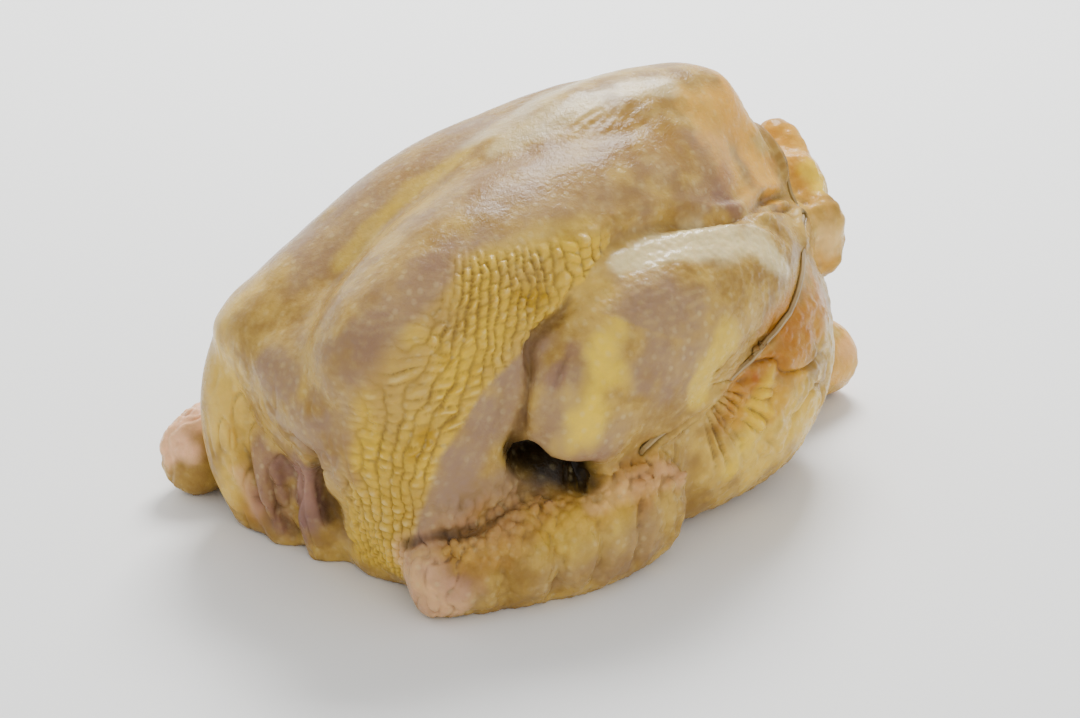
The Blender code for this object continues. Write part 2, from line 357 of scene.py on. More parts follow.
# %% [markdown]
# ## Sculpting tools
#
# A crease is a line of stations on the skin, with a width and a depth. Points near it move in along
# their normal, and a soft lip rises on both sides, as skin does when it folds. The two sides of a bird
# match well enough for most marks to be drawn once and mirrored.

# %% Helpers for sculpting
def normals_now():
    skin.data.vertices.foreach_set("co", (places * MM).ravel())
    skin.data.update()
    n = np.empty(3 * count)
    skin.data.vertices.foreach_get("normal", n)
    return n.reshape(-1, 3)


def gap_to(line, reach, mirrored=False):
    """The points of the skin within reach of a line: their numbers, gaps, and how far along they are."""
    p = places * ([1, -1, 1] if mirrored else [1, 1, 1])
    low, high = line[:, :3].min(axis=0) - reach, line[:, :3].max(axis=0) + reach
    near = np.nonzero(((p > low) & (p < high)).all(axis=1))[0]
    best = np.full(len(near), 1e9)
    where = np.zeros(len(near))
    for k, station in enumerate(line):
        gap = ((p[near] - station[:3]) ** 2).sum(axis=1)
        closer = gap < best
        best[closer] = gap[closer]
        where[closer] = k / max(1, len(line) - 1)
    best = np.sqrt(best)
    keep = best < reach
    return near[keep], best[keep], where[keep]


def crease_shift(creases):
    """Adds up creases: each is its stations, width, depth, lip height and whether it is mirrored."""
    shift = np.zeros(count)
    for stations, width, depth, lip, both in creases:
        line = course(stations)
        for mirrored in (False, True) if both else (False,):
            near, gap, where = gap_to(line, 4 * width, mirrored)
            fade = np.sin(np.pi * np.clip(where * 0.96 + 0.02, 0, 1)) ** 0.4
            bowl = -depth * np.exp(-((gap / width) ** 2))
            rim = lip * np.exp(-(((gap - 2 * width) / width) ** 2))
            shift[near] += (bowl + rim) * fade
    return shift

# %% [markdown]
# ## Folds
#
# A plucked, chilled bird has a few deep folds: in front of the knee, under the drumstick, round the
# vent and between the flaps of neck skin. They are pressed first, then the shallow folds of the wing.

# %% Press the folds
FOLDS = [
    # in front of the knee
    (
        [(-42, -53, 84), (-47, -55, 80), (-58, -56, 75), (-62, -59, 66), (-65, -60, 57), (-67, -59, 47)],
        *(1.7, 3.0, 0.5, True),
    ),
    # the pit between drumstick and wing
    ([(-66, -59, 44), (-60, -61, 39), (-55, -65, 37), (-47, -69, 34)], 3.5, 14.0, 0.0, True),
    # a shallow one on the knee
    ([(-50, -62, 72), (-55, -64, 68), (-59, -65, 62)], 1.2, 0.9, 0.3, True),
    # between breast and drumstick, with its branches towards the vent
    (
        [(-34, -50, 89), (-24, -48, 93), (-9, -46, 94), (8, -48, 93), (26, -48, 88), (38, -50, 81)],
        *(2.8, 2.8, 0.9, True),
    ),
    ([(70, -25, 82), (58, -27, 84), (43, -37, 88), (29, -45, 90), (17, -47, 92)], 1.7, 2.4, 0.7, True),
    ([(68, -29, 79), (55, -33, 82), (39, -42, 87), (28, -48, 89)], 1.4, 1.6, 0.5, True),
    # across the vent skin
    ([(76, -22, 77), (82, -18, 78), (88, -10, 80), (89, 0, 80)], 1.6, 1.8, 0.5, True),
    # along the upper edge of the forearm
    (
        [(-97, -50, 22), (-91, -54, 24), (-83, -60, 26), (-73, -61, 30), (-63, -61, 32), (-55, -65, 35)],
        *(2.0, 2.6, 0.0, True),
    ),
    # between the flaps of neck skin
    ([(-108, 20, 38), (-106, 19, 26), (-105, 16, 15), (-104, 10, 6)], 1.9, 2.8, 0.5, False),
    ([(-107, 9, 30), (-104, 8, 18), (-101, 7, 9), (-98, 4, 4)], 1.6, 2.2, 0.5, False),
    (
        [(-107, -19, 42), (-103, -15, 33), (-97, -9, 25), (-95, -9, 18), (-95, -13, 13), (-94, -22, 8)],
        *(2.4, 3.6, 0.6, False),
    ),
    ([(-103, -3, 27), (-101, 0, 16), (-98, 3, 8)], 1.6, 2.4, 0.4, False),
    ([(-105, -30, 50), (-103, -30, 38), (-100, -28, 22)], 1.6, 1.1, 0.4, False),
]
WING_FOLDS = [
    ([(-78, -63, 22), (-77, -67, 14), (-75, -66, 3)], 2.6, 2.3, 0.7, True),
    ([(-63, -68, 25), (-62, -72, 14), (-61, -70, 3)], 2.8, 2.8, 0.8, True),
    ([(-49, -72, 26), (-48, -75, 16), (-50, -73, 4)], 2.6, 2.5, 0.7, True),
    ([(-35, -74, 25), (-34, -76, 16), (-36, -74, 7)], 2.2, 1.6, 0.6, True),
]
places += normals_now() * crease_shift(FOLDS)[:, None]
places += normals_now() * crease_shift(WING_FOLDS)[:, None]
print("folds", len(FOLDS) + len(WING_FOLDS))

# %% [markdown]
# Over the crest of the breast the skin is drawn tight in fine lines that slant forwards and down. They
# are pressed as creases half a millimetre deep. A curved surface fitted to the crest gives them their
# height.

# %% Press the tight lines of the breast
TIGHT_LINES, TIGHT_WIDTH, TIGHT_DEPTH, TIGHT_LIP = 22, 0.9, 0.55, 0.3
lines_rng = np.random.default_rng(4)
tight = []
for k in range(TIGHT_LINES):
    x = 24 - 2.0 * k + lines_rng.normal(0, 1.5)
    start = np.array([x, -10 - 22 * lines_rng.random(), 0])
    end = start + np.array([-16 - 8 * lines_rng.random(), -9, 0])
    stations = [start, (start + end) / 2 + lines_rng.normal(0, 1, 3), end]
    for station in stations:
        station[2] = 121 - 0.006 * (station[0] - 12) ** 2 - 0.019 * station[1] ** 2
    tight.append((stations, TIGHT_WIDTH, TIGHT_DEPTH, TIGHT_LIP, True))
places += normals_now() * crease_shift(tight)[:, None]
print("tight lines", len(tight))

# %% [markdown]
# ## Pebbled skin
#
# Where feathers grew, the skin stands up in beads that hang together in upright strings, with narrow
# dark grooves between them. Strings are drawn as a repeating pattern across the angle, beads as one
# along the height, and a little noise bends both. Beads differ in size, and each string ends at its own
# height.

# %% Raise the pebbles
STRING_DEGREES = 4.8
BEAD_LENGTH = 2.9
PEBBLE_HEIGHT = 1.3

angle = round_angle(places)
lean = np.clip(0.5 - (angle - 125) * 0.02, -0.3, 0.5)
fan = angle + lean * (places[:, 2] - 45) + cloud(places, 15, 3) * 9 + cloud(places, 4, 4) * 3.2
string_number = np.floor(fan / STRING_DEGREES)
across = np.abs(fan / STRING_DEGREES - string_number - 0.5) * 2
rise = places[:, 2] + cloud(places, 7, 5) * 3 + (string_number % 2) * BEAD_LENGTH / 2
bead_number = np.floor(rise / BEAD_LENGTH)
along_string = np.abs(rise / BEAD_LENGTH - bead_number - 0.5) * 2
bead = np.clip(1 - across**2.4, 0, 1) * (1 - 0.8 * along_string**2.2)


def pick(number):
    """An even random value from 0 to 1 for each whole number."""
    mixed = np.sin(number * 12.9898) * 43758.5453
    return mixed - np.floor(mixed)


bead_size = pick(string_number * 7.0 + bead_number * 31.0)
pebbled = tract_mask(places, 9.0, pick(string_number) * 8 - 3)
places += normals_now() * (pebbled * (bead * (0.6 + 0.7 * bead_size) - 0.45) * PEBBLE_HEIGHT)[:, None]
print("pebbled points", int((pebbled > 0.5).sum()))

# %% [markdown]
# ## Rough skin on the forearm
#
# The forearm carried the big wing feathers, and its skin is rough with papillae that are strongest near
# the upper edge. They are domes a little under 3 mm apart. In the pit between drumstick and wing the
# skin is smooth, so they fade out there.

# %% Roughen the forearm
PIT = [(-66, -49, 43, 8), (-60, -51, 39, 9), (-54, -55, 37, 9), (-47, -60, 34, 8)]
ARM_TOP = [
    (-91, -59, 23),
    (-80, -60, 28),
    (-66, -61, 30),
    (-55, -64, 33),
    (-44, -68, 35),
    (-31, -71, 34),
    (-16, -70, 28),
]
PAPILLA_SIZE, PAPILLA_HEIGHT = 2.7, 1.35
PIT_FADE = (7.0, 12.0)


def arm_height(x):
    """How high the upper edge of the forearm lies at x."""
    return np.interp(x, [station[0] for station in ARM_TOP], [station[2] for station in ARM_TOP])


side = np.abs(places[:, 1])
arm = ramp(side, 52, 58) * ramp(38 - places[:, 2], 0, 3) * ramp(-10 - places[:, 0], 0, 8)
below_edge = arm_height(places[:, 0]) - places[:, 2]
rough = arm * (0.4 + 0.6 * ramp(14 - below_edge, 0, 12)) * (0.6 + 0.4 * ramp(places[:, 0], -96, -82))
pit_line = course([station[:3] for station in PIT])
for mirrored in (False, True):
    near, gap, _ = gap_to(pit_line, 14.0, mirrored)
    rough[near] *= ramp(gap, *PIT_FADE)
papillae = domes(places * [1.0, 1.0, 0.75], PAPILLA_SIZE, 31, 0.72)
places += normals_now() * (rough * (papillae - 0.3) * PAPILLA_HEIGHT)[:, None]
print("rough points", int((rough > 0.5).sum()))

# %% [markdown]
# ## Skin drawn together by the elastic
#
# The elastic lies in a groove of the solid. Close to it the skin keeps calm, so that no lump or pimple
# stands in its way, and `calm` is 1 away from it. Behind it the loose skin of the vent bunches up in
# lumps. Below it the skin of the thigh is drawn into ridges that spread from one point, which is why
# their noise is stretched in polar coordinates.

# %% Bunch the vent skin and ridge the thigh
ELASTIC_LINE = [
    (73, 0, 97),
    (72, -6, 96),
    (72, -18, 89),
    (71, -28, 80),
    (60, -35, 75),
    (51, -41, 71),
    (38, -50, 63),
    (25, -57, 58),
    (4, -63, 51),
    (-29, -68, 38),
]
CALM_FROM, CALM_TO = 2.5, 6.0
LUMP_SIZE, LUMP_HEIGHT = 7, 2.4
FOLDLET_SIZE, FOLDLET_HEIGHT = 2.6, 0.9
RIDGE_HEIGHT, BETWEEN_DEPTH = 1.4, 2.2
FAN_X, FAN_Z = -10, 54
elastic_line = course(ELASTIC_LINE)
calm = np.ones(count)
for mirrored in (False, True):
    near, gap, _ = gap_to(elastic_line, CALM_TO, mirrored)
    calm[near] = np.minimum(calm[near], ramp(gap, CALM_FROM, CALM_TO))
drum = ramp(side, 50, 60) * ramp(places[:, 0], -45, -20)
drum = drum * ramp(places[:, 2], 44, 52) * ramp(84 - places[:, 2], 0, 12)
rump = ramp(side, 48, 54) * ramp(places[:, 0], -8, 2) * ramp(64 - places[:, 2], 0, 8)
vent = ramp(places[:, 0], 64, 74) * ramp(places[:, 2], 44, 56) * calm
lumps = (cloud(places, LUMP_SIZE, 41) - 0.5) * LUMP_HEIGHT
lumps = lumps + (cloud(places * [0.3, 1, 1], FOLDLET_SIZE, 42) - 0.5) * FOLDLET_HEIGHT
places += normals_now() * (vent * lumps)[:, None]
turn = np.arctan2(places[:, 2] - FAN_Z, places[:, 0] - FAN_X)
reach = np.hypot(places[:, 2] - FAN_Z, places[:, 0] - FAN_X)
fan_shaped = np.stack([turn * 26, reach * 0.22, side * 0.22], axis=1)
ridges = (cloud(fan_shaped, 3.0, 44) - 0.5) * RIDGE_HEIGHT
ridges = ridges + wrinkled(fan_shaped, 3.4, 45, 0.16) * BETWEEN_DEPTH
drawn_skin = rump * calm * ramp(places[:, 2], 14, 34) * ramp(68 - places[:, 0], 0, 20)
places += normals_now() * (drawn_skin * ridges)[:, None]
print("bunched points", int((vent > 0.5).sum()), "ridged points", int((drawn_skin > 0.5).sum()))

# %% [markdown]
# ## Goose flesh and thin lines
#
# Each feather leaves a small dome of skin. The domes are about 4 mm apart on thigh, leg and tail, and
# finer on top of the drumstick. Thin lines cross the wrist and the neck skin, where it is loose.

# %% Raise the goose flesh and press the thin lines
GOOSE_SIZE, GOOSE_HEIGHT = 3.8, 0.5
FINE_SIZE, FINE_HEIGHT = 2.3, 0.3
THIN_LINE_GAP, THIN_LINE_DEPTH = 4.0, 0.8
wrist = ramp(side, 48, 54) * ramp(-80 - places[:, 0], 0, 10) * ramp(36 - places[:, 2], 0, 4)
neck = ramp(-94 - places[:, 0], 0, 6) * ramp(34 - side, 0, 8) * ramp(66 - places[:, 2], 0, 20)
thin_lines = wrinkled(places * [1, 1, 0.5], THIN_LINE_GAP, 46, 0.12)
places += normals_now() * ((wrist + neck) * thin_lines * THIN_LINE_DEPTH)[:, None]
fine = ramp(side, 42, 48) * ramp(places[:, 2], 72, 80) * ramp(46 - np.abs(places[:, 0]), 0, 8)
places += normals_now() * (domes(places, FINE_SIZE, 35, 0.6) * fine * FINE_HEIGHT)[:, None]
plucked = np.clip(rump + 0.5 * ramp(places[:, 0], 52, 60) + 0.6 * drum, 0, 1)
goose = calm * domes(places, GOOSE_SIZE, 33, 0.5) * plucked
places += normals_now() * (goose * GOOSE_HEIGHT)[:, None]
print("goose flesh on", int((plucked > 0.5).sum()), "points")

# %% [markdown]
# ## Quill stubs
#
# Along the upper edge of the forearm the quill stubs leave a ragged double row of little cones. Below
# them, short wrinkles run down the forearm.

# %% Raise the quill cones and press the forearm's wrinkles
CONE_RADIUS, CONE_HEIGHT = 1.1, 1.9
WRINKLE_WIDTH, WRINKLE_DEPTH, WRINKLE_LIP = 1.0, 0.5, 0.3
rng = np.random.default_rng(8)


def bumps(centres, radius, height):
    shift = np.zeros(count)
    for centre in centres:
        for mirrored in (False, True):
            near, gap, _ = gap_to(np.array([centre]), 3 * radius, mirrored)
            shift[near] += height * np.exp(-((gap / radius) ** 2))
    return shift


arm_line = course(ARM_TOP, 0.5)
cones = [arm_line[i] + rng.normal(0, 0.6, 3) for i in range(0, len(arm_line), 5)]
SECOND_ROW = np.array([0, -2.6, -2.4])
cones += [arm_line[i] + SECOND_ROW + rng.normal(0, 0.8, 3) for i in range(2, len(arm_line), 6)]
places += normals_now() * bumps(cones, CONE_RADIUS, CONE_HEIGHT)[:, None]

wrinkles = []
for x in np.arange(-88, -14, 3.4):
    top = arm_height(x)
    high = np.array([x + rng.normal(0, 1), -66, top - 2 - 4 * rng.random()])
    low = np.array([x + rng.normal(0, 2), -71, top - 14 - 9 * rng.random()])
    half_way = (high + low) / 2 + np.array([rng.normal(0, 1), -5, 0])
    wrinkles.append(([high, half_way, low], WRINKLE_WIDTH, WRINKLE_DEPTH, WRINKLE_LIP, True))
places += normals_now() * crease_shift(wrinkles)[:, None]
print("cones", len(cones), "wrinkles", len(wrinkles))

# %% [markdown]
# The elastic cuts into the skin, so that it rolls up on both sides, and the rolls run out under the
# drumstick.

# %% Roll the skin up beside the elastic
ROLL_HEIGHT, ROLL_OUT, ROLL_WIDTH = 2.1, 2.7, 1.5
rolls = np.zeros(count)
for mirrored in (False, True):
    near, gap, where = gap_to(elastic_line, 8.0, mirrored)
    roll = ROLL_HEIGHT * np.exp(-(((gap - ROLL_OUT) / ROLL_WIDTH) ** 2)) * ramp(1 - where, 0, 0.1)
    rolls[near] = np.maximum(rolls[near], roll)
places += normals_now() * rolls[:, None]
print("rolled points", int((rolls > 1.0).sum()))

# %% [markdown]
# ## Uneven flesh
#
# No muscle is perfectly smooth. A slow swell of under a millimetre breaks up the highlights, as on the
# real bird. At the end the skin is kept clear of the elastic and inside the box of the solids, and its
# lowest points are set flat on the table top.

# %% Add the swell and settle the bird
CORD_MARGIN, MARGIN_ROUNDS = 0.35, 2
BOX_MARGIN, FLAT_BELOW = 0.02, 0.3
SLOW_SWELL, QUICK_SWELL = 1.3, 0.5
swell = (cloud(places, 16, 11) - 0.5) * SLOW_SWELL + (cloud(places, 7, 12) - 0.5) * QUICK_SWELL
off_table = ramp(places[:, 2], 2, 12)
places += normals_now() * (swell * off_table)[:, None]


def clear_of_elastic(margin, rounds):
    """Presses the skin in until it stands clear of the elastic."""
    global places
    cord = BVHTree.FromObject(elastic, bpy.context.evaluated_depsgraph_get())
    low, high = (np.array(c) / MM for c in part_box("truss_elastic"))
    for _ in range(rounds):
        n = normals_now()
        near = np.nonzero(((places > low - 3) & (places < high + 3)).all(axis=1))[0]
        for i in near:
            foot, out, _, gap = cord.find_nearest(Vector(places[i] * MM), 3 * MM)
            if foot is None:
                continue
            signed = gap if (Vector(places[i] * MM) - foot).dot(out) > 0 else -gap
            if signed < margin * MM:
                places[i] -= n[i] * (margin - signed / MM)


clear_of_elastic(CORD_MARGIN, MARGIN_ROUNDS)
low, high = (np.array(corner) / MM for corner in solid_box)
places = np.clip(places, low + BOX_MARGIN, high - BOX_MARGIN)
places[places[:, 2] < FLAT_BELOW, 2] = BOX_MARGIN
final_normals = normals_now()
print("skin box", places.min(axis=0).round(1), places.max(axis=0).round(1))

# %% [markdown]
# ## Where the colours lie
#
# The skin itself is nearly clear, so its colour is what lies under it: cold grey-mauve flesh over the
# muscles, and yellow fat wherever there is a hollow. Drier skin is tan or apricot, bruised or thin skin
# purple and pink. Where the wet skin shines, a pale sheen is painted on as a highlight, and the pit and
# the creases are darkened with painted shade.
#
# Each tint is a list of soft patches. A patch is a line of stations, which give x, y, z and its radius,
# then its strength and whether it is mirrored.

# %% Lay out the tints
TINTS = {
    "butter": [
        ([(-108, 22, 44, 8), (-107, 24, 30, 8), (-107, 25, 14, 7)], 0.9, False),
        ([(-105, -27, 36, 6), (-101, -31, 22, 7), (-98, -33, 10, 7)], 0.9, False),
        ([(0, -68, 24, 9), (20, -67, 24, 12), (45, -58, 26, 12)], 0.7, True),
        ([(-104, 28, 62, 11), (-98, 30, 76, 11)], 0.9, False),
        ([(-20, -52, 88, 7), (-40, -52, 86, 7)], 0.6, True),
    ],
    "flesh": [
        ([(-66, -46, 92, 14), (-85, -40, 84, 15), (-98, -38, 68, 13)], 0.8, True),
        ([(-40, -34, 100, 12), (-20, -36, 100, 12), (0, -34, 102, 9)], 0.6, True),
        (
            [(-57, -56, 75, 6), (-70, -56, 63, 8), (-81, -57, 52, 8), (-87, -56, 38, 8), (-90, -54, 28, 8)],
            1.0,
            True,
        ),
        ([(-20, -68, 78, 12), (-12, -70, 66, 11), (-28, -71, 66, 8)], 0.9, True),
        ([(-52, -66, 66, 7), (-60, -66, 50, 7), (-45, -71, 45, 9)], 0.8, True),
        ([(24, -34, 106, 8), (20, -40, 98, 8)], 0.9, True),
        ([(-110, -5, 60, 9), (-109, -17, 52, 9), (-106, -26, 42, 8)], 0.9, False),
        ([(-60, 16, 97, 9), (-84, 16, 84, 9), (-20, 12, 114, 8)], 0.7, False),
        ([(-30, -20, 112, 8), (-60, -20, 100, 8)], 0.5, False),
        ([(-104, -6, 30, 9), (-102, -6, 14, 9)], 0.8, False),
        ([(-104, -32, 48, 8), (-103, -30, 34, 8)], 0.6, False),
        ([(-32, -75, 17, 7), (-62, -73, 12, 6)], 0.6, True),
        ([(-90, -62, 8, 6), (-99, -54, 8, 5)], 0.5, True),
        ([(-94, -58, 18, 5)], 0.6, True),
        ([(-70, -60, 33, 9), (-60, -62, 36, 7)], 0.7, True),
    ],
    "fat": [
        ([(-39, -67, 74, 4), (-45, -70, 67, 6), (-49, -72, 60, 6), (-52, -72, 50, 6)], 1.0, True),
        ([(-4, -72, 66, 6), (-10, -73, 58, 5), (-10, -70, 50, 4)], 0.8, True),
        ([(84, -17, 86, 4), (86, -20, 80, 5)], 1.0, False),
        ([(6, -67, 20, 5), (22, -67, 48, 4)], 0.8, True),
        ([(-60, -73, 20, 8), (-45, -75, 24, 8)], 0.35, True),
        ([(20, -67, 30, 16), (40, -60, 30, 14)], 0.3, True),
        ([(60, -50, 40, 10), (75, -38, 30, 10)], 0.4, True),
        ([(-98, 30, 64, 12)], 0.3, False),
        ([(-36, 3, 109, 3), (-60, 6, 97, 3), (-80, 4, 85, 3)], 0.45, False),
        ([(-30, -44, 99, 4), (-50, -44, 97, 4), (-66, -42, 93, 3)], 0.35, True),
    ],
    "ochre": [
        ([(-57, -53, 84, 4.0), (-52, -53, 85, 2.8)], 1.0, True),
        ([(-93, -53, 54, 2.6)], 0.9, True),
        ([(-96, -51, 49, 2.4)], 0.7, True),
        ([(-84, -52, 74, 2.0)], 0.5, True),
        ([(-6, -68, 46, 2.5)], 0.6, True),
    ],
    "tan": [
        ([(10, -68, 44, 11), (24, -65, 50, 12), (38, -60, 54, 11), (56, -48, 58, 9)], 1.0, True),
        ([(-88, -60, 22, 7), (-60, -66, 29, 7), (-30, -72, 30, 8)], 0.4, True),
        ([(50, -12, 108, 12), (52, -24, 94, 10)], 0.7, True),
        ([(85, 0, 90, 12), (82, -14, 84, 8)], 0.7, False),
        ([(-105, 18, 10, 6)], 0.5, False),
        ([(90, -10, 20, 14), (105, -6, 16, 12)], 0.5, False),
    ],
    "pink": [
        ([(-99, -55, 15, 8), (-97, -59, 8, 7)], 0.55, True),
        ([(-108, 60, 18, 10), (-98, 60, 24, 9)], 1.0, False),
        ([(-48, -70, 29, 3), (-21, -72, 29, 4)], 0.35, True),
        ([(-107, 20, 20, 4), (-105, 16, 12, 5)], 0.5, False),
        ([(-103, -6, 24, 5)], 0.5, False),
        ([(103, -18, 20, 5)], 0.4, False),
    ],
    "honey": [
        ([(-46, -18, 108, 9), (-28, -26, 110, 9), (-8, -24, 115, 9), (10, -26, 113, 8)], 0.7, True),
        ([(18, -34, 104, 7), (24, -40, 94, 7)], 0.6, True),
    ],
    "purple": [
        ([(-50, -62, 72, 2.5), (-57, -64, 66, 2.5)], 0.7, True),
        ([(-105, -33, 50, 2.5), (-104, -34, 38, 2.5)], 0.6, False),
        ([(-42, -73, 42, 5), (-52, -70, 44, 5)], 0.4, True),
        ([(-108, 14, 38, 4), (-106, 13, 26, 7), (-104, 12, 16, 8), (-102, 8, 8, 7)], 1.0, False),
        ([(-106, -6, 32, 6), (-102, -3, 22, 7), (-100, -3, 10, 7)], 1.0, False),
        ([(30, -38, 99, 4), (24, -42, 95, 4)], 0.6, True),
        ([(-97, -52, 20, 4), (-90, -62, 13, 3)], 0.5, True),
        ([(-78, -43, 88, 10), (-96, -36, 72, 8)], 0.3, True),
    ],
    # painted highlight: a pale sheen on top of the drumsticks, on the crest of the breast and at the vent
    "cream": [
        (
            [(-24, -53, 90, 3), (-12, -54, 91, 5), (0, -55, 90, 7), (16, -57, 87, 7), (33, -59, 77, 3)],
            0.85,
            True,
        ),
        ([(76, -27, 68, 8)], 0.4, False),
        ([(-34, -5, 112, 3), (0, -8, 121, 5), (25, -10, 121, 4)], 0.45, True),
    ],
    "apricot": [
        ([(83, 0, 92, 12), (82, -13, 84, 9), (76, -26, 70, 9), (76, -29, 58, 8)], 0.7, True),
        ([(54, -8, 110, 11), (52, -20, 100, 9), (56, -26, 88, 6)], 0.8, True),
        ([(38, -20, 114, 8), (34, -32, 106, 8), (40, -40, 94, 6)], 0.6, True),
        ([(97, -18, 14, 14), (104, -6, 18, 12)], 0.7, True),
    ],
    "rust": [
        ([(14, -66, 48, 5), (24, -64, 52, 6), (38, -59, 56, 5)], 0.6, True),
    ],
    "red": [([(16, -67, 48, 1.8)], 0.9, True)],
    "shade": [
        (PIT, 1.0, True),
        ([(-97, -49, 22, 1.6), (-91, -54, 24, 2.2), (-83, -60, 26, 1.8), (-73, -61, 29, 1.4)], 0.65, True),
        ([(x, y, z, 1.5) for x, y, z in ELASTIC_LINE], 0.8, True),
        ([(-104, -15, 34, 2.5), (-97, -10, 24, 3), (-96, -10, 15, 2.5)], 0.6, False),
        ([(-102, 5, 10, 2), (-99, 4, 5, 2)], 0.5, False),
    ],
}
print("tints", list(TINTS))

# %% [markdown]
# The patches are stored on the points, and the material mixes the colours by them. Noise makes the
# borders ragged, but hardly those of the shade, which is an even darkness in hollows.

# %% Store the tints on the points
SHADE_RAGGED = 0.35


def tint_values(patches, raggedness):
    """How strong a tint is at each point of the skin, from 0 to 1."""
    values = np.zeros(count)
    ragged = ((cloud(places, 9, 21) - 0.5) * 1.5 + (cloud(places, 3.5, 22) - 0.5) * 0.8) * raggedness
    for stations, strength, both in patches:
        line = course(stations, 1.5)
        for mirrored in (False, True) if both else (False,):
            near, _, where = gap_to(line, 2.2 * line[:, 3].max(), mirrored)
            p = places[near] * ([1, -1, 1] if mirrored else [1, 1, 1])
            reach = np.interp(where, np.linspace(0, 1, len(line)), line[:, 3])
            gap = np.sqrt(((p[:, None, :] - line[None, :, :3]) ** 2).sum(axis=2)).min(axis=1) / reach
            soft = ramp(1.6 - gap + ragged[near], 0.0, 1.2) * strength
            values[near] = np.maximum(values[near], soft)
    return values


def store(name, values):
    layer = skin.data.attributes.new(name, "FLOAT", "POINT")
    layer.data.foreach_set("value", np.ascontiguousarray(values, dtype=np.float32))


for tint, patches in TINTS.items():
    store(tint, tint_values(patches, SHADE_RAGGED if tint == "shade" else 1.0))
print("stored", len(TINTS), "tints on", count, "points")

# %% [markdown]
# More masks come from the form. `fold` says how deep a point lies below its surroundings, and the
# colour laid by it darkens the hollows as painted shade. `groove` and `dots` follow the pebbles and
# papillae, whose tops are pale and whose grooves are darkened brown as painted shade, and the dots go on
# faintly over the skin round the tract.

# %% Measure the folds and store the pebbles
FOLD_ROUNDS = 14


def neighbour_mean(values, rounds):
    edges = np.empty(2 * len(skin.data.edges), dtype=int)
    skin.data.edges.foreach_get("vertices", edges)
    a, b = edges.reshape(-1, 2).T
    degree = np.bincount(np.concatenate([a, b]), minlength=count)[:, None]
    for _ in range(rounds):
        total = np.zeros_like(values)
        for axis in range(values.shape[1]):
            total[:, axis] = np.bincount(a, values[b, axis], count) + np.bincount(b, values[a, axis], count)
        values = total / degree
    return values


# darker in the hollows: painted shade
hollow = ((neighbour_mean(places, FOLD_ROUNDS) - places) * final_normals).sum(axis=1)
store("fold", ramp(hollow, 0.12, 0.9))
store("tract", tract_mask(places, 5.0) * (0.6 + 0.4 * ramp(cloud(places, 12, 23), 0.3, 0.7)))
# brown in the grooves between beads and papillae: painted shade
between_beads = pebbled * ramp(1 - bead, 0.5, 1.0)
between_papillae = 0.8 * rough * ramp(0.35 - papillae, 0.0, 0.35)
store("groove", np.maximum(between_beads, between_papillae))
fading = tract_mask(places, 26.0) * (1 - pebbled)
breast = ramp(places[:, 2], 30, 60) * (1 - pebbled)
tops = ramp(bead, 0.8, 0.97)
round_tract = tops * np.maximum(0.9 * fading, 0.25 * breast)
store("dots", np.maximum(round_tract, tops * pebbled * ramp(bead_size, 0.35, 1.0)))
print("fold points", int((hollow > 0.5).sum()))

# %% [markdown]
# ## Raw poultry skin
#
# Skin is a thin wet membrane over fat and flesh. Light goes in a few millimetres and comes out warmer,
# so the Principled shader gets some subsurface. IOR 1.4 is that of wet tissue. Pale surroundings
# mirrored in all of the skin would wash its colours out, so the specular level is low, and the shine
# comes from a clear coat that stands for the film of water, thickest where the pale sheen is painted on.
#
# Base colour is a stack of tints, each mixed in by its own mask, and broken up by noise: mottles of
# about a centimetre and flecks of a few millimetres.

# %% Make the skin's colours
BASE, PALE = "#937138", "#bc994b"
STACK = [
    ("butter", "#e7bf55", 0.85),
    ("flesh", "#937661", 0.9),
    ("tan", "#b67723", 0.85),
    ("tract", "#d7af2c", 0.95),
    ("honey", "#8f6627", 0.75),
    ("dots", "#ddc276", 0.6),
    ("apricot", "#edaf3f", 0.85),
    ("fat", "#eac530", 0.85),
    # painted highlight: the pale sheen of the wet skin
    ("cream", "#f3e1aa", 0.8),
    ("pink", "#fec499", 0.85),
    ("purple", "#7c5757", 0.75),
    ("ochre", "#a67e07", 0.95),
    ("rust", "#8f4d12", 0.8),
    ("red", "#953f19", 0.9),
    # painted shade: the grooves between beads and papillae are darkened
    ("groove", "#815f1d", 0.45),
    # painted shade: the hollows are darkened
    ("fold", "#65482c", 0.75),
    ("shade", "#060302", 0.97),
]
wet_skin = new_material("raw_poultry_skin")
tree = wet_skin.node_tree
place = node(tree, "ShaderNodeTexCoord").outputs["Object"]
MOTTLE_MM, FLECK_MM = 11.0, 2.6
